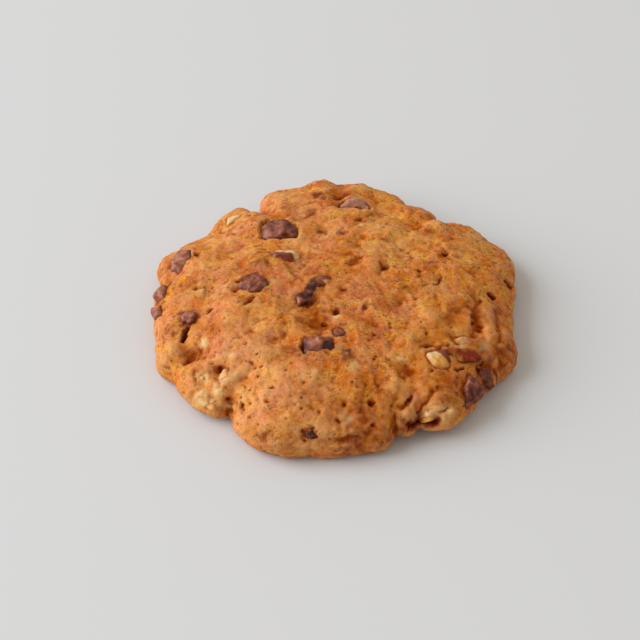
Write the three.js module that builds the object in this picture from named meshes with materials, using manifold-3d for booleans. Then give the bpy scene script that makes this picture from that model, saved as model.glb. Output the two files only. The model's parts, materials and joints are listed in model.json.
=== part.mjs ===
// A miso chocolate chip cookie: a thick round of baked dough with rough pieces of chocolate and nut.
// Millimetres, +Z up. It rests on z = 0, its middle over the origin, and -Y is the side towards the eye.
import * as THREE from "three";
import { mergeVertices } from "three/addons/utils/BufferGeometryUtils.js";
import Module from "manifold-3d";

const wasm = await Module();
wasm.setup();

// Driving sizes of the dough
const MEAN_RADIUS = 53.4;
const DOME_HEIGHT = 19;
const DOME_POWER = 2.6; // the higher, the flatter the top and the steeper the wall
const BULGE_HEIGHT = 5; // where the wall is widest
const FOOT_INSET = 3.8; // how far the foot of the wall lies in from its widest line
const BED_INSET = 8.5; // how far in the flat bottom ends
const FACET_SIZE = 1.85;
const RIM_SEGMENTS = 164;
const BED_SEGMENTS = [82, 40, 20, 10];
const SEED = 7;

// Driving sizes of the pieces in the dough
const POCKET_GAP = 0.35;
const SIMPLIFY_TOLERANCE = 0.07;
const CORNER_SHARPNESS = 9;
const SIDE_TILT = 0.25; // the most that a broken side leans either way, as a part of its normal
const FACE_TILT = 0.3;
const SLANT_CUTS = 4;
const SLANT_REACH = 1.02; // where the slanting cuts pass, as a part of the box's half diagonal

// The wall's outline seen from above: lobes (out) and notches (in), as Gaussians round the mean radius.
const OUTLINE_LOBES = [
  { bearing: 23.8, out: 4.4, spread: 12 },
  { bearing: 48.2, out: -6.4, spread: 4.3 },
  { bearing: 60.9, out: -4.2, spread: 7.6 },
  { bearing: 81.7, out: 3.8, spread: 4.8 },
  { bearing: 95.1, out: 3.9, spread: 4.7 },
  { bearing: 122.3, out: -6.8, spread: 4.3 },
  { bearing: 145.6, out: -4.6, spread: 9.4 },
  { bearing: 162.3, out: 2.6, spread: 3.5 },
  { bearing: 170.8, out: -1.5, spread: 1.5 },
  { bearing: 206.6, out: 2.9, spread: 4.5 },
  { bearing: 222.5, out: 1.6, spread: 9 },
  { bearing: 235.2, out: -3.8, spread: 2.2 },
  { bearing: 251, out: 1.1, spread: 4.2 },
  { bearing: 257, out: 3.1, spread: 18 },
  { bearing: 290.4, out: -2.8, spread: 2 },
  { bearing: 298.2, out: -4.1, spread: 4 },
  { bearing: 305.5, out: 2.3, spread: 16 },
  { bearing: 328, out: -1.1, spread: 2.9 },
  { bearing: 339.9, out: 2.5, spread: 6.2 },
  { bearing: 352, out: -0.7, spread: 3.6 },
];

// Where the underside of the wall curls up off the flat bottom, by bearing.
const FOOT_LIFTS = [
  { bearing: 302, lift: 2.6, spread: 16 },
  { bearing: 225, lift: 1.4, spread: 12 },
  { bearing: 20, lift: 1.2, spread: 30 },
  { bearing: 150, lift: 1.2, spread: 25 },
];

// Soft swells (rise above zero) and hollows (rise below zero) of the top.
const TOP_FORMS = [
  { at: [-6, -40], rise: 1.1, spread: 13 },
  { at: [-20, 33], rise: 0.9, spread: 9 },
  { at: [25, 28], rise: 0.8, spread: 12 },
  { at: [-36, 5], rise: 0.6, spread: 8 },
  { at: [12, -27], rise: 0.8, spread: 7 },
  { at: [27, -40], rise: 0.9, spread: 6 },
  { at: [44, -3], rise: 0.7, spread: 6 },
  { at: [5, 5], rise: -1.4, spread: 4 },
  { at: [-8, -8], rise: -0.9, spread: 7 },
  { at: [-3, -20], rise: -1.3, spread: 5 },
  { at: [14, 3.5], rise: -1, spread: 2.4 },
  { at: [34, -13], rise: -1.2, spread: 3.5 },
  { at: [41, -16], rise: -1.5, spread: 2.6 },
  { at: [46, -1], rise: -1, spread: 2.4 },
  { at: [20.4, -33.6], rise: -1.5, spread: 2.8 },
  { at: [-43, -21], rise: -2.2, spread: 2.4 },
  { at: [-41.5, -26.5], rise: -1.6, spread: 2.6 },
  { at: [-38, -27], rise: -1.2, spread: 2.2 },
  { at: [32.5, 11.6], rise: -1, spread: 2.4 },
  { at: [-31.4, -32.6], rise: -1.4, spread: 2.4 },
  { at: [-27.5, -38.5], rise: 1.6, spread: 3 },
  { at: [0.5, 40], rise: -1.6, spread: 2.6 },
];

// Creases and folds of the top, as straight stretches.
const CREASES = [
  { from: [-25, -22], to: [-14, -25], depth: 1, spread: 2 },
  { from: [-28.8, -40], to: [-29, -46], depth: 1.6, spread: 2.2 },
  { from: [18.6, -44], to: [17.5, -50], depth: 2, spread: 2 },
  { from: [19, -43], to: [22.4, -40], depth: 0.9, spread: 1.5 },
  { from: [24.2, -43.4], to: [28, -38.6], depth: 1.3, spread: 1.7 },
  { from: [33, -19], to: [41, -18.5], depth: 0.9, spread: 1.5 },
  { from: [5, 26.5], to: [12, 27], depth: 1.2, spread: 1.6 },
  { from: [-24, 44], to: [-21, 36], depth: 1.4, spread: 2.4 },
];

// Uneven lumps and small crags all over, from seeded bumps and dents. wallShare is the part of them that
// lies on the wall, and height and spread are the least and most of each.
const RELIEF_LAYERS = [
  { count: 90, wallShare: 0.5, height: [0.3, 0.9], spread: [5, 9] },
  { count: 600, wallShare: 0.28, height: [0.15, 0.5], spread: [2, 3.8] },
];

const CHOCOLATE = { color: 0x6b4238, roughness: 0.45 };
const NUT_KERNEL = { color: 0xe3bf86, roughness: 0.7 };
const NUT_SKIN = { color: 0x7a3a2c, roughness: 0.6 };
const DOUGH = { color: 0xcb8040, roughness: 0.85 };

// Each piece sits in the top at a point, or in the wall at a bearing and height. size is length, width and
// depth, turn is the bearing of its length, lean tips it about its length, and rise lifts its middle out.
const PIECES = [
  {
    name: "chocolate_chunk_back_left",
    at: [-17.5, 22.5],
    size: [10.4, 8.8, 6.5],
    turn: 4,
    lean: 8,
    rise: -1.5,
  },
  {
    name: "chocolate_chunk_back",
    at: [5.5, 35.7],
    size: [8.8, 6.8, 6],
    turn: -8,
    lean: -6,
    rise: -1.1,
  },
  {
    name: "chocolate_chunk_far_left",
    at: [-45.4, 12.9],
    size: [8.8, 5.6, 5.5],
    turn: 48,
    lean: 4,
    rise: -1.4,
  },
  {
    name: "chocolate_chunk_left",
    at: [-23.8, -2.6],
    size: [8.4, 7.2, 6],
    turn: 10,
    lean: 5,
    rise: -1.8,
  },
  {
    name: "chocolate_ridge_middle",
    at: [-7.4, -5.2],
    size: [12.6, 4.2, 5.6],
    turn: 55,
    lean: 0,
    rise: -1.5,
  },
  {
    name: "chocolate_chunk_front",
    at: [-4.4, -27.4],
    size: [8.4, 6.8, 6.5],
    turn: 4,
    lean: 6,
    rise: -1.2,
  },
  {
    name: "chocolate_bead_front",
    at: [1.4, -22.6],
    size: [4, 3.6, 4],
    turn: 0,
    lean: 0,
    rise: -0.8,
    small: true,
  },
  {
    name: "chocolate_wedge_right_wall",
    bearing: 317.2,
    height: 9.2,
    size: [8, 6, 5.5],
    turn: 262,
    lean: 0,
    rise: -1.3,
  },
  {
    name: "chocolate_chip_left_wall",
    bearing: 178.5,
    height: 9.4,
    size: [5, 3.6, 4],
    turn: 90,
    lean: 0,
    rise: -0.9,
    small: true,
  },
  {
    name: "chocolate_chip_left_wall_low",
    bearing: 186.2,
    height: 8.6,
    size: [4.4, 3.6, 4],
    turn: 90,
    lean: 0,
    rise: -0.9,
    small: true,
  },
  {
    name: "chocolate_chunk_left_edge",
    at: [-42.1, -12.7],
    size: [5, 4.2, 4.6],
    turn: 20,
    lean: 6,
    rise: -1.2,
    small: true,
  },
  {
    name: "chocolate_chip_front_wall",
    bearing: 263.2,
    height: 9.4,
    size: [4, 3.4, 3.6],
    turn: 0,
    lean: 0,
    rise: -1.2,
    small: true,
  },
  {
    name: "chocolate_smear_right_wall",
    bearing: 327.4,
    height: 7,
    size: [6.4, 4.4, 4.2],
    turn: 332,
    lean: 0,
    rise: -1.5,
  },
  {
    name: "chocolate_chip_front_right",
    at: [20.1, -33.4],
    size: [4.4, 3.4, 3.6],
    turn: 10,
    lean: 0,
    rise: -1.2,
    small: true,
  },
  {
    name: "nut_sliver_middle",
    at: [-15.2, 9.3],
    size: [8.6, 3.4, 5],
    turn: 2,
    lean: -14,
    rise: -1.5,
    nut: true,
  },
  {
    name: "nut_kernel_right",
    at: [29.7, -28.8],
    size: [5, 4.9, 6],
    turn: 35,
    lean: 0,
    rise: -1.4,
    nut: true,
  },
  {
    name: "nut_skin_right",
    at: [37.1, -25.4],
    size: [10.4, 4.2, 5.5],
    turn: 12,
    lean: 10,
    rise: -1.4,
    nut: true,
    skin: true,
  },
  {
    name: "nut_ridge_right",
    at: [39.4, -20.2],
    size: [12.4, 2.6, 4],
    turn: 6,
    lean: 0,
    rise: -1.1,
    nut: true,
    small: true,
  },
  {
    name: "nut_chip_back_left",
    at: [-31.2, 30.4],
    size: [5, 4.2, 4],
    turn: 30,
    lean: 0,
    rise: -1.2,
    nut: true,
    small: true,
  },
  {
    name: "nut_chip_left",
    at: [-38.9, -4.5],
    size: [4, 3.2, 3.8],
    turn: 80,
    lean: 0,
    rise: -1.2,
    nut: true,
    small: true,
  },
  {
    name: "nut_chip_front_left",
    bearing: 229.2,
    height: 13.1,
    size: [4.4, 3.6, 4],
    turn: 130,
    lean: 0,
    rise: -1.2,
    nut: true,
    small: true,
  },
  {
    name: "nut_chip_front_left_side",
    bearing: 222.6,
    height: 11,
    size: [3.8, 3, 3.6],
    turn: 40,
    lean: 0,
    rise: -1.1,
    nut: true,
    small: true,
  },
  {
    name: "nut_chip_front_left_low",
    bearing: 229.6,
    height: 8,
    size: [4.8, 3.6, 4],
    turn: 140,
    lean: 0,
    rise: -1.3,
    nut: true,
    small: true,
  },
  {
    name: "nut_chunk_front_right_wall",
    bearing: 303.5,
    height: 9,
    size: [8, 3.6, 4.6],
    turn: 30,
    lean: 0,
    rise: -1.5,
    nut: true,
  },
];

const degrees = THREE.MathUtils.degToRad;

// A repeatable random number from 0 to 1.
function makeRandom(seed) {
  let state = seed;
  return () => {
    state = (state * 16807) % 2147483647;
    return state / 2147483647;
  };
}

// The angle between two bearings, from -180 to 180 degrees.
function bearingGap(a, b) {
  return THREE.MathUtils.euclideanModulo(a - b + 180, 360) - 180;
}

function polar(radius, bearing, height) {
  return new THREE.Vector3(radius * Math.cos(degrees(bearing)), radius * Math.sin(degrees(bearing)), height);
}

function wallRadius(bearing) {
  let radius = MEAN_RADIUS;
  for (const lobe of OUTLINE_LOBES) {
    radius += lobe.out * Math.exp(-((bearingGap(bearing, lobe.bearing) / lobe.spread) ** 2));
  }
  return radius;
}

function footLift(bearing) {
  let lift = 0;
  for (const curl of FOOT_LIFTS) {
    lift += curl.lift * Math.exp(-((bearingGap(bearing, curl.bearing) / curl.spread) ** 2));
  }
  return lift;
}

// The plain dome over one bearing: share is the distance from the middle as a part of the wall's radius.
function domeHeight(share) {
  const fall = Math.sqrt(Math.max(0, 1 - share ** DOME_POWER));
  return BULGE_HEIGHT + (DOME_HEIGHT - BULGE_HEIGHT) * fall;
}

function distanceToStretch(x, y, crease) {
  const along = new THREE.Vector2(crease.to[0] - crease.from[0], crease.to[1] - crease.from[1]);
  const offset = new THREE.Vector2(x - crease.from[0], y - crease.from[1]);
  const share = THREE.MathUtils.clamp(offset.dot(along) / along.lengthSq(), 0, 1);
  return offset.addScaledVector(along, -share).length();
}

// Swells, hollows and creases, by the place seen from above.
function formRelief(x, y) {
  let rise = 0;
  for (const form of TOP_FORMS) {
    const gap = Math.hypot(x - form.at[0], y - form.at[1]);
    rise += form.rise * Math.exp(-((gap / form.spread) ** 2));
  }
  for (const crease of CREASES) {
    rise -= crease.depth * Math.exp(-((distanceToStretch(x, y, crease) / crease.spread) ** 2));
  }
  return rise;
}

function makeCrumbs() {
  const random = makeRandom(SEED);
  const between = (range) => range[0] + (range[1] - range[0]) * random();
  const crumbs = [];
  for (const layer of RELIEF_LAYERS) {
    for (let i = 0; i < layer.count; i += 1) {
      const bearing = 360 * random();
      const onWall = random() < layer.wallShare;
      const wallSwing = (Math.PI / 2) * (0.75 + 0.35 * random());
      const share = onWall ? Math.sin(wallSwing) ** (2 / DOME_POWER) : Math.sqrt(0.9 * random());
      const wallHeight = BULGE_HEIGHT + (DOME_HEIGHT - BULGE_HEIGHT) * Math.cos(wallSwing);
      crumbs.push({
        centre: polar(share * wallRadius(bearing), bearing, onWall ? wallHeight : domeHeight(share)),
        rise: between(layer.height) * (random() < 0.5 ? -1 : 1),
        spread: between(layer.spread),
      });
    }
  }
  return crumbs;
}

const crumbs = makeCrumbs();

function crumbRelief(point) {
  let rise = 0;
  for (const crumb of crumbs) {
    const gap = point.distanceTo(crumb.centre);
    if (gap < 3 * crumb.spread) {
      rise += crumb.rise * Math.exp(-((gap / crumb.spread) ** 2));
    }
  }
  return rise;
}

// The wall's profile from the top's middle over the bulge to the foot, as rings of one share of the radius.
// inset is in millimetres from the widest line, and outward and upward are the profile's normal.
function makeProfile() {
  const steps = 2000;
  const fine = [];
  for (let i = 0; i <= steps; i += 1) {
    const swing = (Math.PI / 2) * (i / steps);
    const share = Math.sin(swing) ** (2 / DOME_POWER);
    fine.push({ across: share * MEAN_RADIUS, up: domeHeight(share), below: 0 });
  }
  for (let i = 1; i <= steps; i += 1) {
    const swing = (Math.PI / 2) * (i / steps);
    fine.push({
      across: MEAN_RADIUS - FOOT_INSET * (1 - Math.cos(swing)),
      up: BULGE_HEIGHT * (1 - Math.sin(swing)),
      below: Math.sin(swing),
    });
  }
  const rings = [];
  let walked = 0;
  for (let i = 1; i < fine.length; i += 1) {
    const across = fine[i].across - fine[i - 1].across;
    const up = fine[i].up - fine[i - 1].up;
    const step = Math.hypot(across, up);
    walked += step;
    if (walked >= FACET_SIZE || i === fine.length - 1) {
      rings.push({ ...fine[i], outward: -up / step, upward: across / step });
      walked = 0;
    }
  }
  return rings;
}

// A point of the dough's skin on one ring of the profile.
function skinPoint(ring, bearing) {
  const radius = wallRadius(bearing);
  const inset = ring.below > 0 ? MEAN_RADIUS - ring.across : 0;
  const across = ring.below > 0 ? radius - inset : (ring.across / MEAN_RADIUS) * radius;
  const lift = footLift(bearing) * ring.below;
  const point = polar(across, bearing, ring.up + lift);
  const fade = 1 - ring.below;
  const rise = (formRelief(point.x, point.y) + crumbRelief(point)) * fade;
  return point.addScaledVector(polar(ring.outward, bearing, ring.upward), rise);
}

// Joins rings of vertices, each with its own count, into one closed surface with a point at either end.
class RingSkin {
  constructor() {
    this.positions = [];
    this.indices = [];
  }

  addPoint(point) {
    this.positions.push(point.x, point.y, point.z);
    return this.positions.length / 3 - 1;
  }

  addRing(count, place) {
    const ring = [];
    for (let i = 0; i < count; i += 1) {
      ring.push(this.addPoint(place((360 * i) / count)));
    }
    return ring;
  }

  // Both rings run the same way round; the first is the one nearer the top's middle.
  stitch(first, second) {
    let i = 0;
    let j = 0;
    while (i < first.length || j < second.length) {
      const a = first[i % first.length];
      const b = second[j % second.length];
      const nextShareOfFirst = (i + 1) / first.length;
      const nextShareOfSecond = (j + 1) / second.length;
      if (j < second.length && (i >= first.length || nextShareOfSecond <= nextShareOfFirst)) {
        this.indices.push(a, b, second[(j + 1) % second.length]);
        j += 1;
      } else {
        this.indices.push(a, b, first[(i + 1) % first.length]);
        i += 1;
      }
    }
  }

  toGeometry() {
    const geometry = new THREE.BufferGeometry();
    geometry.setAttribute("position", new THREE.Float32BufferAttribute(this.positions, 3));
    geometry.setIndex(this.indices);
    return geometry;
  }
}

function makeDoughSkin() {
  const skin = new RingSkin();
  const profile = makeProfile();
  const crown = { across: 0, up: DOME_HEIGHT, below: 0, outward: 0, upward: 1 };
  let previous = [skin.addPoint(skinPoint(crown, 0))];
  profile.forEach((ring, i) => {
    const count = ring.below > 0 ? RIM_SEGMENTS : Math.min(6 * (i + 1), RIM_SEGMENTS);
    const next = skin.addRing(count, (bearing) => skinPoint(ring, bearing));
    skin.stitch(previous, next);
    previous = next;
  });
  const bedRing = (share) => (bearing) => {
    return polar(share * (wallRadius(bearing) - BED_INSET), bearing, 0);
  };
  BED_SEGMENTS.forEach((count, i) => {
    const next = skin.addRing(count, bedRing(1 - i / BED_SEGMENTS.length));
    skin.stitch(previous, next);
    previous = next;
  });
  const middle = [skin.addPoint(new THREE.Vector3(0, 0, 0))];
  skin.stitch(previous, middle);
  return skin.toGeometry();
}

// The height of the dough's top over a point, and the place on the wall at a bearing and height.
function topPoint(x, y) {
  const bearing = THREE.MathUtils.radToDeg(Math.atan2(y, x));
  const share = Math.min(Math.hypot(x, y) / wallRadius(bearing), 0.999);
  return new THREE.Vector3(x, y, domeHeight(share) + formRelief(x, y));
}

function wallPoint(bearing, height) {
  const fall = (height - BULGE_HEIGHT) / (DOME_HEIGHT - BULGE_HEIGHT);
  const seat = polar(wallRadius(bearing) * (1 - fall ** 2) ** (1 / DOME_POWER), bearing, height);
  return topPoint(seat.x, seat.y);
}

// The frame a piece sits in: its middle, with local Z along the plain dome's normal and X along its length.
function seatMatrix(piece) {
  const seat = piece.at ? topPoint(...piece.at) : wallPoint(piece.bearing, piece.height);
  const reach = 0.5;
  const bearing = Math.atan2(seat.y, seat.x);
  const share = Math.hypot(seat.x, seat.y) / wallRadius(THREE.MathUtils.radToDeg(bearing));
  const step = reach / MEAN_RADIUS;
  const slope = (domeHeight(share - step) - domeHeight(Math.min(share + step, 1))) / (2 * reach);
  const up = new THREE.Vector3(slope * Math.cos(bearing), slope * Math.sin(bearing), 1).normalize();
  const length = new THREE.Vector3(Math.cos(degrees(piece.turn)), Math.sin(degrees(piece.turn)), 0);
  length.addScaledVector(up, -length.dot(up)).normalize();
  const width = new THREE.Vector3().crossVectors(up, length);
  const frame = new THREE.Matrix4().makeBasis(length, width, up);
  frame.multiply(new THREE.Matrix4().makeRotationX(degrees(piece.lean)));
  frame.setPosition(seat.addScaledVector(up, piece.rise));
  return frame;
}

// A broken chunk: the solid inside a box and a few seeded slanting cuts, with its corners rounded a little.
function chunkPlanes(piece, seed) {
  const random = makeRandom(seed);
  const tilt = (most) => most * (random() - 0.5);
  const [length, width, depth] = piece.size;
  const planes = [
    [new THREE.Vector3(1, tilt(SIDE_TILT), tilt(FACE_TILT)), length / 2],
    [new THREE.Vector3(-1, tilt(SIDE_TILT), tilt(FACE_TILT)), length / 2],
    [new THREE.Vector3(tilt(SIDE_TILT), 1, tilt(FACE_TILT)), width / 2],
    [new THREE.Vector3(tilt(SIDE_TILT), -1, tilt(FACE_TILT)), width / 2],
    [new THREE.Vector3(tilt(FACE_TILT), tilt(FACE_TILT), 1), depth / 2],
    [new THREE.Vector3(0, 0, -1), depth / 2],
  ];
  for (let i = 0; i < SLANT_CUTS; i += 1) {
    const swing = (2 * Math.PI * (i + 0.7 * random())) / SLANT_CUTS;
    const reach = 0.5 * Math.hypot(length * Math.cos(swing), width * Math.sin(swing));
    const slope = 0.5 + 0.5 * random();
    planes.push([new THREE.Vector3(Math.cos(swing), Math.sin(swing), slope), reach * SLANT_REACH]);
  }
  return planes.map(([normal, offset]) => ({ normal: normal.clone().normalize(), offset }));
}

function chunkGeometry(piece, seed, grow) {
  const planes = chunkPlanes(piece, seed);
  const geometry = new THREE.IcosahedronGeometry(1, piece.small ? 1 : 2);
  geometry.deleteAttribute("normal");
  geometry.deleteAttribute("uv");
  const merged = mergeVertices(geometry);
  const corners = merged.getAttribute("position");
  const ray = new THREE.Vector3();
  for (let i = 0; i < corners.count; i += 1) {
    ray.fromBufferAttribute(corners, i).normalize();
    let sum = 0;
    for (const plane of planes) {
      sum += Math.max(0, ray.dot(plane.normal) / plane.offset) ** CORNER_SHARPNESS;
    }
    ray.multiplyScalar(sum ** (-1 / CORNER_SHARPNESS) + grow);
    corners.setXYZ(i, ray.x, ray.y, ray.z);
  }
  merged.applyMatrix4(seatMatrix(piece));
  return merged;
}

function toManifold(geometry) {
  const mesh = new wasm.Mesh({
    numProp: 3,
    vertProperties: new Float32Array(geometry.getAttribute("position").array),
    triVerts: new Uint32Array(geometry.getIndex().array),
  });
  return new wasm.Manifold(mesh);
}

function toGeometry(manifold) {
  const mesh = manifold.getMesh();
  const geometry = new THREE.BufferGeometry();
  geometry.setAttribute("position", new THREE.Float32BufferAttribute(mesh.vertProperties, 3));
  geometry.setIndex(new THREE.Uint32BufferAttribute(mesh.triVerts, 1));
  return geometry;
}

function makeMesh(name, geometry, look) {
  geometry.computeVertexNormals();
  const mesh = new THREE.Mesh(geometry, new THREE.MeshStandardMaterial({ ...look, metalness: 0 }));
  mesh.name = name;
  return mesh;
}

const group = new THREE.Group();
let dough = toManifold(makeDoughSkin());
PIECES.forEach((piece, i) => {
  const seed = SEED + 31 * (i + 1);
  dough = dough.subtract(toManifold(chunkGeometry(piece, seed, POCKET_GAP)));
  let look = CHOCOLATE;
  if (piece.nut) {
    look = piece.skin ? NUT_SKIN : NUT_KERNEL;
  }
  group.add(makeMesh(piece.name, chunkGeometry(piece, seed, 0), look));
});
group.add(makeMesh("dough", toGeometry(dough.simplify(SIMPLIFY_TOLERANCE)), DOUGH));

// Puts the middle of the whole cookie over the origin and its bottom on z = 0.
const bounds = new THREE.Box3().setFromObject(group, true);
const middle = bounds.getCenter(new THREE.Vector3());
group.position.set(-middle.x, -middle.y, -bounds.min.z);

export default group;
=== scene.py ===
import json
import math

import bpy
import numpy as np
from mathutils import Matrix, Vector, noise
from mathutils.bvhtree import BVHTree


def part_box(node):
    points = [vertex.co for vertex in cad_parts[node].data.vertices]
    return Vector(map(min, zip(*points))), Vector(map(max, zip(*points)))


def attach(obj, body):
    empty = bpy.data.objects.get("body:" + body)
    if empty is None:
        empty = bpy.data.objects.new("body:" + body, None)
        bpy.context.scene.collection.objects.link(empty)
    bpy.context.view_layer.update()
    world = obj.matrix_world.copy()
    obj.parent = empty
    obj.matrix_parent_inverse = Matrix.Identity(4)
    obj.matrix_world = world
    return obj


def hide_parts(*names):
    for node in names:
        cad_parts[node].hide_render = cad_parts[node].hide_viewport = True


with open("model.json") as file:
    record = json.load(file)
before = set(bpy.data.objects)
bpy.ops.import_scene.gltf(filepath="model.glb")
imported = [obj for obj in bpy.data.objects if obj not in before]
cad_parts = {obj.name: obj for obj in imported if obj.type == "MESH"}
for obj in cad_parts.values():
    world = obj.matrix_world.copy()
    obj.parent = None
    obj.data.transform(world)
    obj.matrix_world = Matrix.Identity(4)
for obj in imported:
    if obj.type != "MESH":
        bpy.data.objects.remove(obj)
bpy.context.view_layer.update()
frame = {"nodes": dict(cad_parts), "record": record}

# A miso chocolate chip cookie, dressed over its CAD frame. Sizes are in metres, most given as a number of MM.
MM = 0.001
SEED = 11

# The camera's lens, its angles and distance, and the point of the floor that it looks at
CAMERA_LENS = 105.0
SENSOR_WIDTH = 36.0
VIEW_PIXELS = 640
CAMERA_ELEVATION = math.radians(44.1)
CAMERA_ROLL = math.radians(1.36)
CAMERA_DISTANCE = 553.8 * MM
CAMERA_TARGET = Vector((-4.5 * MM, 1.3 * MM, 0.0))
CAMERA_SIGHT = 20.0

# The light from a wide window, the bright even room and the floor
WINDOW_PLACE = (-2.0, -0.12, 1.22)
WINDOW_SIZE = 2.2
WINDOW_POWER = 65.0
WINDOW_COLOUR = (0.94, 0.985, 1.07)
ROOM_COLOUR = (1.0, 0.95, 0.86, 1)
ROOM_STRENGTH = 0.55
FLOOR_SIZE = 4.0
FLOOR_COLOUR = (0.66, 0.66, 0.66, 1)

# The plain dome under the relief, as the CAD has it
MEAN_RADIUS = 53.5 * MM
DOME_RISE = 14.0 * MM
DOME_POWER = 2.6
STEEPEST_SHARE = 0.975

# The dough's mesh, and how it is smoothed over the plugs that fill its pockets
MERGE_GAP = 0.001 * MM
DOUGH_VOXEL = 0.46 * MM
FLAT_BOTTOM = 0.05 * MM
PLUG_GROWTH = 0.5 * MM
PLUG_MARGIN = 1.2 * MM
PLUG_SKIN = 0.4 * MM
PLUG_ROUNDS = 260
DOUGH_ROUNDS = 5

# Rounded lumps all over the dough, with cracks between some of them. Width and height are in millimetres.
# A lump rises over its border and is level with the plain dough at its middle, both as shares of its width.
LUMP_WIDTH = 7.5
LUMP_HEIGHT = 0.6
LUMP_BORDER = 0.5
LUMP_MIDDLE = 0.3

# Pores, most of them at the front and none near the floor, with their radius and depth in millimetres
PORE_COUNT = 110
PORE_CHANCE = (0.1, 1.0)
PORE_MIDDLE = 0.35
PORE_FALL = 60 * MM
PORE_LOWEST = 3 * MM
PORE_RADIUS = (0.3, 0.6)
PORE_DEPTH = (0.2, 0.6)

# How the dough meets a piece: how far down it lies on a bare top and in the ragged ring next to the piece,
# how high it laps over the piece where that stands less proud, and from what depth on a piece is left alone
PIECE_REACH = 2.5 * MM
BARE_DROP = 0.9 * MM
RING_DROP = 0.5 * MM
RING_WIDTH = 0.8 * MM
RING_SHARE = 0.5
RING_RAGGEDNESS = 1.5
COVER_RISE = 0.25 * MM
COVER_BY_PROUD = 1.5
BURIED_DEPTH = 1.8 * MM
LIE_ROUNDS = 12
SHIFT_ROUNDS = 2

# How wide the painted shade on the dough beside a piece reaches, and how far the dough's edge and its crumbs
# show on the piece, the edge being painted shade on the chocolate
CONTACT_SHADE_WIDTH = 1.2 * MM
RIM_WIDTH = 0.9 * MM
CRUMB_WIDTH = 0.5 * MM

# The foot of the dough, and the heights in millimetres at which fine and wide relief count in full
# The foot is darker towards the floor: partly browning, partly painted shade where the wall turns under.
FOOT_HEIGHT = 4.5 * MM
# How far the relief stands out sets the painted shade in its hollows and the painted sheen on its rises.
FINE_ROUNDS = 9
FINE_HEIGHT = 0.22
WIDE_ROUNDS = 65
WIDE_HEIGHT = 0.7

# The pieces' mesh
PIECE_BEVEL = 0.35 * MM
PIECE_VOXEL = 0.24 * MM
SKIN_EDGE = 0.3 * MM

# A mark reaches points this far above or below its middle. A pixel that shows no surface is far away.
MARK_DEPTH = 4 * MM
OUT_OF_REACH = 1.0
FAR_AWAY = (0, 0, -1)

# The marks of the crust follow. Each is placed by the pixel of the 640 by 640 view at which it shows, and its
# other sizes are in millimetres along the surface.

# Broad rises and dips
SWELLS = [
    {"at": (318, 322), "spread": 3.6, "height": -0.9},
    {"at": (488, 330), "spread": 2.2, "height": 0.7},
    {"at": (467, 318), "spread": 2.0, "height": 0.5},
    {"at": (477, 318), "spread": 2.4, "height": -0.6},
    {"at": (490, 312), "spread": 3.0, "height": 0.9},
    {"at": (372, 395), "spread": 3.0, "height": -0.6},
    {"at": (225, 384), "spread": 3.0, "height": 0.6},
    {"at": (408, 410), "spread": 2.8, "height": 0.5},
    {"at": (300, 335), "spread": 3.0, "height": 0.5},
    {"at": (342, 346), "spread": 1.4, "height": 0.8},
    {"at": (403, 211), "spread": 4.0, "height": 1.3},
    {"at": (437, 226), "spread": 3.5, "height": 1.8},
]


def marks(spread, much, *at):
    """Round soft marks alike in how wide they spread and how much they show, one at each of the pixels."""
    return {"spread": spread, "much": much, "at": at}


# Pits and holes, much being the depth in millimetres
PITS = [
    marks(0.4, 0.4, (382, 391), (406, 357), (288, 352)),
    marks(0.4, 0.5, (352, 384), (357, 379), (405, 343)),
    marks(0.45, 0.6, (256, 368), (261, 367)),
    marks(0.5, 0.3, (425, 285)),
    marks(0.5, 0.4, (317, 418), (286, 418), (390, 344)),
    marks(0.5, 0.5, (332, 300), (213, 362)),
    marks(0.5, 0.6, (250, 389)),
    marks(0.5, 0.7, (256, 354)),
    marks(0.6, 0.4, (254, 436), (404, 286), (411, 292)),
    marks(0.6, 0.6, (418, 271), (272, 387), (491, 332)),
    marks(0.6, 0.7, (302, 409), (246, 386), (374, 334)),
    marks(0.6, 0.8, (362, 411)),
    marks(0.6, 1.0, (433, 369)),
    marks(0.7, 0.4, (334, 389)),
    marks(0.7, 0.5, (312, 215), (322, 232)),
    marks(0.7, 0.7, (481, 363)),
    marks(0.7, 0.8, (450, 370), (320, 412)),
    marks(0.7, 0.9, (243, 406)),
    marks(0.8, 0.4, (365, 308)),
    marks(0.8, 0.5, (317, 196)),
    marks(0.8, 0.6, (427, 332)),
    marks(0.8, 0.7, (234, 290), (268, 402), (228, 399)),
    marks(0.8, 1.0, (196, 288), (338, 420), (373, 427)),
    marks(0.9, 0.8, (345, 404)),
    marks(0.9, 0.9, (384, 266), (466, 360), (221, 369)),
    marks(0.9, 1.0, (209, 310), (197, 254), (446, 254)),
    marks(0.9, 1.4, (324, 325)),
    marks(1.0, 0.5, (200, 352)),
    marks(1.0, 1.0, (331, 340), (480, 327), (474, 323), (480, 370)),
    marks(1.0, 1.2, (372, 403)),
    marks(1.1, 1.1, (344, 289)),
    marks(1.1, 1.4, (335, 310)),
    marks(1.2, 0.5, (264, 438)),
    marks(1.2, 0.7, (339, 199)),
    marks(1.3, 0.4, (430, 231)),
    marks(1.4, 1.2, (309, 434)),
    marks(1.6, 0.7, (409, 371)),
    marks(2.2, 0.5, (187, 352)),
]

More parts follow.
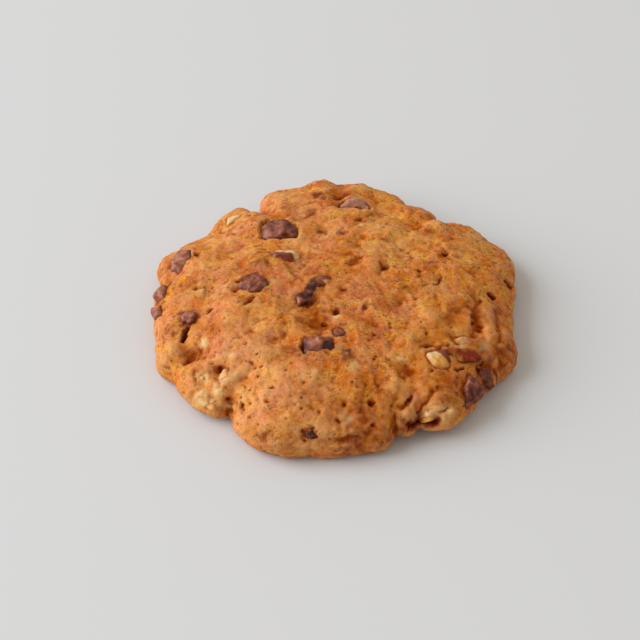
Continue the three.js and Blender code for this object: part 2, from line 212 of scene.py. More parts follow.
# Narrow creases and cracks, each a straight stretch
CREASES = [
    {"from": (303, 431), "to": (315, 438), "width": 0.6, "depth": 0.8},
    {"from": (313, 428), "to": (305, 440), "width": 0.6, "depth": 0.8},
    {"from": (412, 426), "to": (434, 423), "width": 1.5, "depth": 2.4},
    {"from": (304, 342), "to": (304, 351), "width": 0.7, "depth": 1.7},
    {"from": (186, 327), "to": (184, 338), "width": 0.8, "depth": 2.1},
    {"from": (380, 262), "to": (385, 267), "width": 0.6, "depth": 0.5},
    {"from": (350, 263), "to": (361, 258), "width": 0.9, "depth": 0.5},
    {"from": (357, 220), "to": (373, 215), "width": 0.8, "depth": 0.4},
    {"from": (490, 294), "to": (494, 299), "width": 0.7, "depth": 1.2},
    {"from": (506, 281), "to": (511, 287), "width": 0.8, "depth": 1.1},
    {"from": (441, 275), "to": (437, 284), "width": 0.6, "depth": 0.5},
    {"from": (474, 308), "to": (479, 330), "width": 1.3, "depth": 0.7},
    {"from": (456, 370), "to": (463, 367), "width": 0.6, "depth": 0.9},
    {"from": (396, 412), "to": (395, 432), "width": 0.6, "depth": 0.3},
    {"from": (401, 409), "to": (413, 398), "width": 0.6, "depth": 0.5},
    {"from": (419, 413), "to": (433, 391), "width": 0.7, "depth": 0.5},
    {"from": (400, 387), "to": (392, 410), "width": 0.7, "depth": 0.3},
    {"from": (337, 441), "to": (357, 437), "width": 0.7, "depth": 0.7},
    {"from": (366, 385), "to": (361, 410), "width": 0.7, "depth": 0.3},
    {"from": (375, 378), "to": (379, 394), "width": 0.6, "depth": 0.3},
    {"from": (348, 402), "to": (350, 412), "width": 0.6, "depth": 0.3},
    {"from": (193, 369), "to": (196, 379), "width": 0.4, "depth": 0.4},
    {"from": (197, 344), "to": (199, 358), "width": 0.6, "depth": 0.5},
    {"from": (421, 347), "to": (447, 344), "width": 0.6, "depth": 0.6},
    {"from": (245, 303), "to": (254, 296), "width": 0.7, "depth": 0.8},
    {"from": (228, 235), "to": (234, 233), "width": 0.5, "depth": 0.5},
    {"from": (269, 252), "to": (257, 253), "width": 0.5, "depth": 0.5},
    {"from": (238, 281), "to": (256, 273), "width": 0.6, "depth": 1.0},
    {"from": (476, 310), "to": (480, 300), "width": 0.8, "depth": 0.6},
    {"from": (497, 312), "to": (500, 342), "width": 1.0, "depth": 0.6},
    {"from": (336, 326), "to": (300, 318), "width": 1.4, "depth": 0.5},
    {"from": (440, 414), "to": (449, 408), "width": 0.6, "depth": 0.5},
    {"from": (215, 378), "to": (219, 386), "width": 0.5, "depth": 0.4},
]

# Reddish brown places: partly toasted crust, partly painted shade, most of it on the right and front right
TOASTED_AND_SHADED = [
    marks(0.9, 0.8, (229, 384)),
    marks(1.0, 0.9, (206, 398)),
    marks(1.2, 0.5, (461, 251)),
    marks(1.2, 0.6, (218, 406)),
    marks(1.2, 0.8, (193, 396)),
    marks(1.4, 0.6, (210, 328)),
    marks(1.4, 0.8, (193, 372)),
    marks(1.5, 0.6, (270, 256)),
    marks(1.6, 0.6, (386, 240)),
    marks(1.6, 0.7, (384, 266), (446, 255)),
    marks(1.6, 0.9, (259, 437), (212, 371), (228, 400)),
    marks(1.8, 0.6, (250, 299)),
    marks(1.8, 0.7, (322, 231)),
    marks(1.8, 0.8, (170, 264)),
    marks(1.8, 0.9, (335, 345), (337, 206)),
    marks(1.8, 1.0, (200, 352)),
    marks(2.0, 0.2, (285, 333)),
    marks(2.0, 0.4, (403, 414)),
    marks(2.0, 0.5, (204, 330), (300, 296), (332, 301)),
    marks(2.0, 0.6, (427, 263), (446, 373)),
    marks(2.0, 0.7, (365, 218)),
    marks(2.0, 1.0, (221, 369)),
    marks(2.2, 0.2, (266, 335)),
    marks(2.2, 0.5, (420, 340)),
    marks(2.2, 0.7, (309, 213), (449, 319), (430, 231), (430, 346)),
    marks(2.2, 0.8, (317, 195), (356, 261)),
    marks(2.2, 0.9, (409, 372)),
    marks(2.4, 0.6, (463, 305), (287, 205)),
    marks(2.6, 0.7, (187, 352)),
    marks(2.6, 0.8, (324, 278), (456, 312)),
    marks(2.6, 0.9, (342, 197)),
    marks(2.6, 1.0, (476, 316)),
    marks(3.0, 0.3, (245, 268), (430, 365)),
    marks(
        3.0, 0.4, (340, 250), (240, 270), (182, 290), (380, 330), (270, 352), (152, 312), (335, 312),
        (473, 271),
    ),
    marks(3.0, 0.5, (300, 332), (320, 268), (462, 372), (470, 400)),
    marks(3.0, 0.6, (340, 330), (328, 440), (174, 330)),
    marks(3.0, 0.7, (262, 262), (362, 400), (405, 420), (265, 438)),
    marks(3.0, 0.9, (318, 308)),
    marks(3.0, 1.0, (404, 432)),
    marks(3.2, 0.6, (469, 293)),
    marks(3.4, 0.8, (185, 320)),
    marks(3.5, 0.4, (165, 272)),
    marks(3.5, 0.5, (422, 376)),
    marks(3.5, 0.6, (349, 252)),
    marks(3.5, 0.8, (500, 365)),
    marks(3.5, 1.0, (424, 424)),
    marks(4.0, 0.3, (495, 275), (410, 290)),
    marks(4.0, 0.35, (360, 270)),
    marks(4.0, 0.4, (380, 390), (420, 396), (195, 285), (155, 315), (380, 405)),
    marks(4.0, 0.5, (425, 374), (340, 408), (292, 450)),
    marks(4.0, 0.55, (340, 290)),
    marks(4.0, 0.6, (456, 386), (498, 312)),
    marks(4.0, 0.8, (318, 312)),
    marks(4.0, 0.9, (298, 350), (482, 372)),
    marks(4.5, 0.9, (508, 350), (385, 441)),
    marks(5.0, 0.3, (390, 300)),
    marks(5.0, 0.4, (360, 390), (308, 402)),
    marks(5.0, 0.5, (335, 412)),
    marks(5.0, 0.8, (362, 410), (500, 350)),
    marks(5.0, 0.9, (318, 322), (489, 376)),
    marks(5.5, 0.75, (316, 344)),
    marks(6.0, 0.75, (354, 428)),
    marks(6.0, 0.9, (350, 441)),
    marks(6.0, 1.0, (358, 430)),
    marks(7.0, 0.35, (505, 345)),
    marks(8.0, 0.1, (485, 290)),
    marks(8.0, 0.35, (400, 430)),
    marks(8.0, 0.45, (445, 400)),
    marks(8.0, 0.55, (365, 440)),
    marks(9.0, 0.2, (465, 335)),
]

# Bright orange places
ORANGE = [
    marks(3.0, 0.6, (300, 332), (298, 350)),
    marks(4.0, 0.4, (340, 290), (340, 250), (360, 270), (318, 312)),
    marks(5.0, 0.3, (400, 350)),
    marks(5.0, 0.4, (440, 406)),
    marks(5.0, 0.5, (362, 388), (340, 410), (420, 392), (386, 416), (400, 405)),
    marks(5.0, 0.6, (460, 368)),
    marks(6.0, 0.3, (440, 300), (480, 282)),
    marks(6.0, 0.4, (500, 328)),
    marks(6.0, 0.5, (460, 330), (482, 345), (440, 340)),
    marks(6.0, 0.6, (360, 430), (360, 408), (420, 372)),
]

# Golden places: partly golden crust, partly painted light that brightens the back rim, the lobes and other
# spots
GOLDEN_AND_LIT = [
    marks(1.4, 0.9, (463, 363)),
    marks(1.6, 0.9, (437, 364), (478, 360)),
    marks(1.8, 0.8, (407, 295)),
    marks(2.0, 0.5, (290, 251)),
    marks(2.2, 1.0, (215, 411), (444, 423)),
    marks(2.6, 0.8, (198, 405)),
    marks(3.0, 0.4, (292, 257), (218, 402)),
    marks(3.0, 0.5, (282, 352), (328, 292), (460, 332), (345, 276)),
    marks(3.0, 0.6, (425, 350), (380, 270), (462, 248), (420, 352), (262, 391), (195, 290)),
    marks(3.0, 0.7, (245, 397), (360, 187)),
    marks(3.5, 0.4, (395, 405)),
    marks(3.5, 0.6, (462, 260), (283, 425)),
    marks(4.0, 0.2, (360, 392), (342, 410)),
    marks(4.0, 0.3, (335, 435), (450, 328)),
    marks(4.0, 0.4, (440, 290), (280, 332), (412, 340), (160, 365), (205, 262), (425, 310)),
    marks(
        4.0, 0.5, (320, 388), (298, 430), (420, 332), (500, 328), (258, 312), (400, 390), (480, 288),
        (380, 210), (300, 208), (215, 402), (290, 397), (397, 402), (422, 240), (178, 355),
    ),
    marks(4.0, 0.6, (320, 430), (300, 240), (402, 236), (372, 245), (290, 308)),
    marks(4.0, 0.7, (320, 432)),
    marks(4.0, 0.8, (406, 407), (400, 388), (240, 370)),
    marks(5.0, 0.3, (365, 222)),
    marks(5.0, 0.4, (245, 366), (405, 238), (325, 225)),
    marks(5.0, 0.5, (482, 240), (225, 215), (215, 240)),
    marks(5.0, 0.6, (472, 238), (285, 195)),
    marks(5.0, 0.7, (375, 225)),
    marks(5.0, 0.8, (262, 350), (400, 250)),
    marks(6.0, 0.3, (180, 345)),
    marks(6.0, 0.4, (245, 328), (200, 385)),
    marks(6.0, 0.5, (260, 205)),
    marks(7.0, 0.35, (250, 430)),
    marks(7.0, 0.4, (270, 370)),
    marks(7.0, 0.45, (300, 445)),
]

# Pinkish places: partly pinkish crust, partly a painted sheen, most of it on the left, towards the light
PINK_AND_SHEEN = [
    marks(2.2, 0.6, (376, 330)),
    marks(2.5, 0.3, (300, 200)),
    marks(2.6, 0.9, (491, 312)),
    marks(3.0, 0.4, (366, 350), (384, 348), (320, 208), (268, 380), (375, 250)),
    marks(3.0, 0.5, (360, 312), (268, 333), (233, 240), (160, 330)),
    marks(3.0, 0.6, (413, 400)),
    marks(3.4, 0.45, (242, 350)),
    marks(3.4, 0.6, (293, 292)),
    marks(
        4.0, 0.4, (400, 312), (200, 270), (180, 270), (318, 390), (240, 412), (340, 230), (300, 360),
        (290, 400),
    ),
    marks(
        4.0, 0.5, (440, 290), (277, 372), (260, 270), (300, 264), (280, 278), (182, 300), (240, 330),
        (300, 214),
    ),
    marks(4.0, 0.6, (300, 270), (280, 290), (236, 370), (220, 272)),
    marks(5.0, 0.3, (165, 275), (350, 298)),
    marks(5.0, 0.4, (265, 205), (235, 430)),
    marks(5.0, 0.5, (260, 410), (240, 250), (320, 430), (158, 330)),
    marks(5.0, 0.6, (220, 290), (320, 245)),
    marks(5.0, 0.7, (280, 390), (220, 350)),
    marks(6.0, 0.4, (235, 230)),
    marks(6.0, 0.5, (215, 308)),
    marks(6.0, 0.6, (246, 350)),
    marks(6.5, 0.45, (365, 290)),
]

# Pale crumb and bits of nut in the skin, and one painted glint
PALE = [
    # A painted glint on a tiny chip of chocolate.
    marks(0.6, 1.0, (347, 354)),
    marks(1.0, 0.5, (262, 284)),
    marks(1.0, 0.6, (361, 225)),
    marks(1.3, 0.7, (230, 355)),
    marks(1.3, 0.8, (337, 317)),
    marks(1.3, 0.9, (204, 343)),
    marks(1.4, 0.5, (242, 285)),
    marks(1.4, 0.7, (234, 381)),
    marks(1.5, 0.4, (302, 400)),
    marks(1.6, 0.3, (245, 218)),
    marks(1.6, 0.7, (229, 406)),
    marks(1.6, 0.8, (428, 416)),
    marks(1.6, 1.0, (223, 381)),
    marks(1.8, 0.5, (345, 418)),
    marks(1.8, 0.8, (448, 410), (200, 399)),
    marks(1.8, 0.9, (216, 390)),
    marks(1.9, 0.5, (354, 366)),
    marks(1.9, 0.6, (307, 376)),
    marks(2.0, 0.4, (400, 357)),
    marks(2.0, 0.5, (213, 403)),
    marks(2.0, 0.7, (203, 376)),
    marks(2.0, 0.75, (438, 413)),
    marks(2.2, 0.4, (485, 345)),
    marks(2.6, 0.5, (460, 341)),
]

# Thin smears of melted chocolate
SMEARS = [
    marks(0.8, 0.7, (205, 287), (194, 371)),
    marks(0.9, 0.7, (374, 334), (489, 358)),
    marks(0.9, 0.8, (341, 233), (197, 289)),
    marks(0.9, 0.9, (240, 406)),
    marks(1.0, 0.8, (404, 286)),
    marks(1.1, 0.8, (365, 308)),
    marks(1.2, 0.4, (320, 334)),
    marks(1.2, 0.7, (409, 290)),
    marks(1.2, 0.9, (483, 350)),
    marks(1.3, 0.8, (312, 215), (322, 232)),
    marks(1.3, 1.0, (509, 283)),
    marks(1.4, 0.8, (317, 196)),
    marks(1.4, 0.9, (480, 370)),
    marks(1.4, 1.0, (402, 419)),
    marks(1.5, 0.5, (350, 440)),
    marks(1.5, 0.8, (310, 434)),
    marks(1.7, 1.0, (169, 285)),
    marks(2.0, 1.0, (348, 354)),
    marks(2.2, 0.8, (186, 318)),
    marks(2.2, 0.9, (424, 424)),
    marks(3.4, 0.6, (316, 282)),
]

# Lighter and darker places on the pieces, much being how far the tone goes up or down
# On the chocolate: painted highlights and painted shade on its facets. On the nuts: their own cream and
# toast.
TONES_AND_FACET_LIGHT = [
    {"at": (304, 347), "spread": 0.9, "much": -1.0},
    {"at": (291, 225), "spread": 1.2, "much": -0.6},
    {"at": (286, 220), "spread": 1.0, "much": -0.3},
    {"at": (268, 233), "spread": 1.6, "much": 0.3},
    {"at": (272, 224), "spread": 1.6, "much": 0.15},
    {"at": (354, 196), "spread": 1.2, "much": 0.2},
    {"at": (346, 201), "spread": 1.2, "much": 0.3},
    {"at": (358, 209), "spread": 0.9, "much": -0.8},
    {"at": (367, 205), "spread": 1.0, "much": -0.5},
    {"at": (178, 259), "spread": 1.0, "much": 0.4},
    {"at": (185, 263), "spread": 0.8, "much": 0.4},
    {"at": (192, 255), "spread": 1.1, "much": -0.7},
    {"at": (240, 277), "spread": 0.9, "much": -0.8},
    {"at": (249, 274), "spread": 0.9, "much": -0.8},
    {"at": (264, 285), "spread": 1.0, "much": 0.6},
    {"at": (319, 278), "spread": 1.2, "much": 0.3},
    {"at": (312, 287), "spread": 1.2, "much": -0.5},
    {"at": (306, 296), "spread": 1.4, "much": -0.6},
    {"at": (298, 301), "spread": 0.9, "much": 0.6},
    {"at": (318, 339), "spread": 1.2, "much": 0.9},
    {"at": (328, 346), "spread": 1.6, "much": -0.8},
    {"at": (469, 383), "spread": 1.2, "much": 0.3},
    {"at": (472, 398), "spread": 1.8, "much": -0.3},
    {"at": (434, 355), "spread": 1.8, "much": 0.5},
    {"at": (443, 364), "spread": 2.8, "much": -1.2},
    {"at": (458, 361), "spread": 1.4, "much": -1.0},
    {"at": (290, 252), "spread": 1.6, "much": 0.5},
]


def chip_cuts(right, left, front=None):
    """The slanting cuts of a plain chip: at its upper ends and, where it has one, along its front."""
    cuts = [(0.6, 0.5, 0.6, right), (-0.7, 0.3, 0.6, left)]
    return cuts + [(0.1, -0.7, 0.7, front)] if front else cuts


# What a piece has where it says nothing else. turn is the bearing of its length and lean tips it about its
# length, in degrees. cover is how far the dough laps over it, tone how light it is, sunk how much lower it
# lies than its node, worn how rounded it is, and skin the slope and place of its skin's edge. Knobs are
# blocks added to it.
PLAIN_PIECE = {
    "lean": 0, "cover": -1, "tone": 0.5, "sunk": 0.0, "worn": 3, "knobs": [], "skin": (0.0, -99.0),
}

# The chocolate and nut pieces. size is length, width and depth in millimetres, and each cut is a plane's
# direction and its distance from the middle.
PIECES = {
    "chocolate_chunk_back_left": {
        "size": (10.6, 8.0, 6.4), "turn": 4, "lean": 4, "cover": -4, "tone": 0.42,
        "cuts": [
            (0.7, 0.75, 0.1, 3.9), (0.55, -0.05, 0.83, 3.6), (-0.35, -0.6, 0.7, 3.9), (-0.5, 0.5, 0.7, 4.2),
            (0.15, 1.0, 0.3, 3.3),
        ],
    },
    "chocolate_chunk_back": {
        "size": (8.6, 5.4, 6.2), "turn": -4, "lean": -4, "cover": -4, "tone": 0.9,
        "cuts": [
            (0.5, 0.1, 0.86, 2.5), (-0.55, 0.1, 0.83, 2.5), (0.05, 0.6, 0.8, 2.6), (0.1, -0.85, 0.5, 1.3),
            (0.75, 0.65, 0.1, 3.9), (-0.7, 0.7, 0.1, 3.6),
        ],
    },
    "chocolate_chunk_far_left": {
        "size": (9.2, 6.0, 5.4), "turn": 50, "lean": 4, "cover": -0.5, "tone": 0.65,
        "cuts": [(0.7, 0.3, 0.65, 3.8), (-0.6, 0.5, 0.6, 3.9), (-0.3, -0.6, 0.7, 3.2), (0.5, -0.7, 0.4, 3.7)],
    },
    "chocolate_chunk_left": {
        "size": (8.6, 6.4, 5.8), "turn": 10, "lean": 5, "cover": -0.2, "tone": 0.45,
        "cuts": [(0.7, 0.6, 0.4, 4.0), (-0.7, 0.6, 0.3, 3.7), (-0.5, -0.5, 0.7, 3.4), (0.6, -0.5, 0.6, 3.8)],
    },
    "chocolate_ridge_middle": {
        "size": (6.4, 3.2, 5.2), "turn": 55, "cover": 0.3, "tone": 0.3,
        "cuts": [(0.8, 0.5, 0.3, 3.0), (0.2, -0.8, 0.6, 2.2), (-0.3, 0.8, 0.5, 2.2)],
        "knobs": [
            {"place": (-4.2, -0.4, 0.0), "size": (4.2, 3.8, 4.6), "turns": (0, 8, -30)},
            {"place": (4.4, -0.6, 0.1), "size": (5.4, 3.2, 4.8), "turns": (6, 0, -35)},
        ],
    },
    "chocolate_chunk_front": {
        "size": (8.4, 6.0, 6.2), "turn": 2, "lean": 8, "cover": -0.7, "tone": 0.35,
        "cuts": [
            (-0.1, -0.7, 0.7, 2.9), (0.6, -0.1, 0.75, 3.3), (0.1, 0.75, 0.65, 2.9), (-0.6, 0.1, 0.8, 3.2),
        ],
        "knobs": [
            {"place": (-0.2, 1.2, 1.8), "size": (2.2, 2.0, 2.6), "turns": (10, 40, 20)},
            {"place": (3.0, -0.8, 0.9), "size": (2.8, 2.6, 3.0), "turns": (20, 10, 35)},
        ],
    },
    "chocolate_bead_front": {
        "size": (4.2, 3.8, 4.2), "turn": 30, "tone": 0.5,
        "cuts": [(-0.6, 0.5, 0.6, 2.1), (0.7, 0.2, 0.6, 2.1), (0.1, -0.8, 0.6, 2.1)],
    },
    "chocolate_wedge_right_wall": {
        "size": (8.6, 6.2, 5.4), "turn": 262, "tone": 0.35,
        "cuts": [(0.5, 0.85, 0.1, 2.9), (0.5, -0.85, 0.1, 2.7), (0.55, 0.0, 0.8, 3.3), (-0.5, 0.2, 0.8, 3.7)],
    },
    "chocolate_chip_left_wall": {
        "size": (5.2, 3.8, 4.0), "turn": 90, "cover": 0.2, "tone": 0.6,
        "cuts": [(0.6, 0.4, 0.7, 2.3), (-0.7, 0.2, 0.6, 2.3), (0.1, -0.7, 0.7, 2.2)],
    },
    "chocolate_chip_left_wall_low": {
        "size": (4.6, 3.6, 4.0), "turn": 90, "cover": 0.2, "tone": 0.65,
        "cuts": [(0.7, -0.3, 0.6, 2.2), (-0.5, 0.6, 0.6, 2.2), (-0.2, -0.7, 0.7, 2.2)],
    },
    "chocolate_chunk_left_edge": {
        "size": (5.0, 3.0, 4.8), "turn": 20, "lean": 6, "cover": 0.4, "tone": 0.5,
        "cuts": chip_cuts(2.5, 2.5),
        "knobs": [{"place": (-0.4, -0.9, 0.2), "size": (2.0, 3.6, 3.6), "turns": (0, 10, 20)}],
    },
    "chocolate_chip_front_wall": {
        "size": (3.6, 1.9, 3.6), "turn": 15, "cover": 0.8, "sunk": 1.0, "tone": 0.15,
        "cuts": chip_cuts(1.9, 1.9),
        "knobs": [{"place": (-0.3, -0.2, 0.1), "size": (1.6, 3.4, 3.2), "turns": (0, 8, -25)}],
    },
    "chocolate_smear_right_wall": {
        "size": (6.6, 4.4, 4.2), "turn": 332, "cover": 2.8, "tone": 0.35,
        "cuts": [(0.7, 0.4, 0.6, 3.0), (-0.6, 0.4, 0.7, 2.9), (0.1, -0.7, 0.7, 2.5)],
    },
    "chocolate_chip_front_right": {
        "size": (4.4, 3.4, 3.8), "turn": 10, "cover": 0.5, "tone": 0.6,
        "cuts": [(0.6, 0.5, 0.6, 2.1), (-0.7, 0.2, 0.6, 2.1), (0.1, -0.7, 0.7, 2.0)],
    },
    "nut_sliver_middle": {
        "size": (9.0, 2.5, 5.0), "turn": 0, "lean": -14, "cover": -0.4, "worn": 5, "tone": 0.95,
        "cuts": [(0.5, 0.8, 0.3, 3.0), (-0.55, 0.8, 0.2, 2.6), (0.6, -0.7, 0.4, 3.0), (-0.6, -0.6, 0.5, 3.2)],
        "skin": (0.2, -0.3),
    },
    "nut_kernel_right": {
        "size": (6.8, 5.8, 6.0), "turn": 118, "lean": -4, "cover": -1.2, "worn": 26, "tone": 0.6,
        "cuts": [
            (0.8, -0.1, 0.5, 3.1), (-0.3, -0.8, 0.5, 3.3), (-0.1, 0.7, 0.7, 3.4), (-0.8, 0.3, 0.5, 3.5),
            (0.7, 0.7, 0.1, 3.8), (-0.7, 0.7, 0.1, 3.5),
        ],
        "skin": (-0.5, -1.0),
    },
    "nut_skin_right": {
        "size": (11.2, 4.0, 5.4), "turn": 10, "lean": 14, "cover": 0.1, "tone": 0.9,
        "cuts": [(0.55, 0.75, 0.3, 3.4), (0.5, -0.6, 0.6, 3.9), (-0.5, -0.3, 0.8, 3.8), (0.0, 0.7, 0.7, 3.0)],
    },
    "nut_ridge_right": {
        "size": (12.0, 2.4, 4.0), "turn": 6, "cover": 2.0, "sunk": 0.9, "worn": 8, "tone": 0.1,
        "cuts": [(0.5, 0.8, 0.4, 3.2), (-0.5, 0.8, 0.4, 3.2), (0.6, -0.6, 0.5, 3.6), (-0.6, -0.6, 0.5, 3.6)],
    },
    "nut_chip_back_left": {
        "size": (5.6, 3.8, 4.0), "turn": 30, "cover": -0.2, "worn": 8, "tone": 0.95,
        "cuts": chip_cuts(2.4, 2.4, 2.3),
    },
    "nut_chip_left": {
        "size": (3.6, 3.0, 3.8), "turn": 80, "cover": 0.4, "sunk": 0.4, "worn": 8, "tone": 0.3,
        "cuts": chip_cuts(2.0, 2.0, 1.9),
    },
    "nut_chip_front_left": {
        "size": (4.6, 3.6, 4.0), "turn": 110, "cover": 0.1, "sunk": 0.6, "worn": 6, "tone": 0.6,
        "cuts": chip_cuts(2.1, 2.2, 2.2),
    },
    "nut_chip_front_left_side": {
        "size": (4.2, 2.8, 3.6), "turn": 75, "cover": 0.5, "sunk": 0.8, "worn": 8, "tone": 0.4,
        "cuts": [(0.6, -0.5, 0.6, 1.9), (-0.6, -0.4, 0.6, 1.9), (0.1, 0.7, 0.7, 1.9)],
    },
    "nut_chip_front_left_low": {
        "size": (5.2, 3.6, 4.0), "turn": 150, "cover": 0.5, "sunk": 0.8, "worn": 8, "tone": 0.2,
        "cuts": [(0.6, 0.5, 0.6, 2.2), (-0.7, -0.3, 0.6, 2.3), (0.1, -0.7, 0.7, 2.2)],
    },
    "nut_chunk_front_right_wall": {
        "size": (8.4, 2.4, 4.6), "turn": 32, "cover": 1.3, "sunk": 0.8, "worn": 4, "tone": -0.1,
        "cuts": chip_cuts(3.3, 3.3, 2.4),
    },
}
PIECES = {node: PLAIN_PIECE | shape for node, shape in PIECES.items()}


def only(piece):
    """Makes one object the selected and active one."""
    if bpy.context.object and bpy.context.object.mode != "OBJECT":
        bpy.ops.object.mode_set(mode="OBJECT")
    bpy.ops.object.select_all(action="DESELECT")
    piece.select_set(True)
    bpy.context.view_layer.objects.active = piece


def copy_of_node(node, name):
    """A copy of a CAD node's mesh with its loose triangles merged."""
    piece = bpy.data.objects.new(name, frame["nodes"][node].data.copy())
    bpy.context.scene.collection.objects.link(piece)
    piece.data.materials.clear()
    only(piece)
    bpy.ops.object.mode_set(mode="EDIT")
    bpy.ops.mesh.select_all(action="SELECT")
    bpy.ops.mesh.remove_doubles(threshold=MERGE_GAP)
    bpy.ops.object.mode_set(mode="OBJECT")
    return piece


def apply_modifier(piece, kind, **settings):
    only(piece)
    modifier = piece.modifiers.new(kind.title(), kind)
    for key, value in settings.items():
        setattr(modifier, key, value)
    bpy.ops.object.modifier_apply(modifier=modifier.name)


def read(piece, what):
    """The places, co, or the directions, normal, of a piece's points, one row each."""
    values = np.empty(len(piece.data.vertices) * 3)
    piece.data.vertices.foreach_get(what, values)
    return values.reshape(-1, 3)


def write_points(piece, points):
    piece.data.vertices.foreach_set("co", points.ravel())
    piece.data.update()


def write_attribute(piece, name, values):
    attribute = piece.data.attributes.new(name, "FLOAT", "POINT")
    attribute.data.foreach_set("value", np.asarray(values, np.float32))


def tree_of(piece):
    return BVHTree.FromObject(piece, bpy.context.evaluated_depsgraph_get())


def blurred(piece, values, rounds, where=None):
    """Values at a piece's points, each averaged with its neighbours round by round, everywhere or where
    asked."""
    edges = np.empty(len(piece.data.edges) * 2, int)
    piece.data.edges.foreach_get("vertices", edges)
    one, other = edges.reshape(-1, 2).T
    count = np.bincount(one, minlength=len(values)) + np.bincount(other, minlength=len(values))
    if where is not None:
        near = where[one] | where[other]
        one, other = one[near], other[near]
    flat = values.reshape(len(values), -1).copy()
    for _ in range(rounds):
        total = np.empty_like(flat)
        for axis in range(flat.shape[1]):
            column = flat[:, axis]
            total[:, axis] = np.bincount(one, column[other], len(column))
            total[:, axis] += np.bincount(other, column[one], len(column))
        mixed = 0.5 * flat + 0.5 * total / count[:, None]
        flat = mixed if where is None else np.where(where[:, None], mixed, flat)
    return flat.reshape(values.shape)


def bell(distance, spread):
    return np.exp(-((distance / spread) ** 2))


def uneven(places, grain, height=1.0, shift=0.0):
    """Smooth noise, up to about the height either way, with lumps about one grain, in millimetres, across."""
    grains = places / (grain * MM) + shift
    return height * np.array([noise.noise(Vector(place)) for place in grains.tolist()])


def pulled(places, grain, reach):
    """Places moved a little by noise, so that what is laid out by them gets uneven edges. Both sizes are in
    millimetres."""
    shifts = [noise.noise_vector(Vector(place)) for place in (places / (grain * MM)).tolist()]
    return places + reach * MM * np.array(shifts)


def cell_border(places, grain):
    """How far each place is from the border of its cell, where cells about one grain wide fill all space."""
    nearest = [noise.voronoi(Vector(place))[0] for place in (places / (grain * MM)).tolist()]
    return np.array([gaps[1] - gaps[0] for gaps in nearest])


def seen_at(surface, pixel):
    """The place of a surface that shows at a pixel of the view."""
    camera = bpy.context.scene.camera.matrix_world
    focal_pixels = VIEW_PIXELS * CAMERA_LENS / SENSOR_WIDTH
    across = (pixel[0] - VIEW_PIXELS / 2) / focal_pixels
    down = (pixel[1] - VIEW_PIXELS / 2) / focal_pixels
    place = surface.ray_cast(camera.translation, camera.to_3x3() @ Vector((across, -down, -1)))[0]
    return np.array(place or FAR_AWAY)


def gap_to_stretch(places, normals, start, end):
    """How far each place is from a straight stretch of the surface, measured along the surface."""
    along = end - start
    length = max(along @ along, 1e-12)
    share = np.clip((places - start) @ along / length, 0, 1)
    offset = places - start - share[:, None] * along
    out = (offset * normals).sum(1)
    gap = np.sqrt(np.maximum((offset**2).sum(1) - out**2, 0))
    return np.where(np.abs(out) < MARK_DEPTH, gap, OUT_OF_REACH)


def gap_to_spot(surface, places, normals, pixel):
    """How far each place is, along the surface, from the place that shows at a pixel."""
    middle = seen_at(surface, pixel)
    return gap_to_stretch(places, normals, middle, middle)


def spots(surface, places, normals, groups):
    """How strongly each place lies in the round soft marks of a list."""
    much = np.zeros(len(places))
    for group in groups:
        for pixel in group["at"]:
            gap = gap_to_spot(surface, places, normals, pixel)
            much = np.maximum(much, group["much"] * bell(gap, group["spread"] * MM))
    return much


def place_camera():
    """The view from the front: a long lens, a little rolled."""
    data = bpy.data.cameras.new("camera")
    data.lens = CAMERA_LENS
    data.sensor_width = SENSOR_WIDTH
    data.clip_end = CAMERA_SIGHT
    camera = bpy.data.objects.new("camera", data)
    bpy.context.scene.collection.objects.link(camera)
    back = Vector((0, -math.cos(CAMERA_ELEVATION), math.sin(CAMERA_ELEVATION)))
    turn = Matrix.Rotation(math.pi / 2 - CAMERA_ELEVATION, 4, "X") @ Matrix.Rotation(CAMERA_ROLL, 4, "Z")
    camera.matrix_world = Matrix.Translation(CAMERA_TARGET + CAMERA_DISTANCE * back) @ turn
    bpy.context.scene.camera = camera


def light_scene():
    """A wide soft light on the left, a little to the front, and a bright even room."""
    bpy.context.scene.view_settings.view_transform = "Standard"
    data = bpy.data.lights.new("window", "AREA")
    data.size = WINDOW_SIZE
    data.energy = WINDOW_POWER
    data.color = WINDOW_COLOUR
    light = bpy.data.objects.new("window", data)
    light.location = WINDOW_PLACE
    light.rotation_euler = (-Vector(WINDOW_PLACE)).to_track_quat("-Z", "Y").to_euler()
    bpy.context.scene.collection.objects.link(light)
    world = bpy.data.worlds.new("room")
    world.use_nodes = True
    world.node_tree.nodes["Background"].inputs["Color"].default_value = ROOM_COLOUR
    world.node_tree.nodes["Background"].inputs["Strength"].default_value = ROOM_STRENGTH
    bpy.context.scene.world = world


def lay_floor():
    bpy.ops.object.select_all(action="DESELECT")
    bpy.ops.mesh.primitive_plane_add(size=FLOOR_SIZE, location=(0, 0, 0))
    floor = bpy.context.object
    floor.name = "floor"
    look = Look("floor_card")
    look.surface("Base Color", FLOOR_COLOUR)
    look.surface("Roughness", 0.9)
    floor.data.materials.append(look.material)


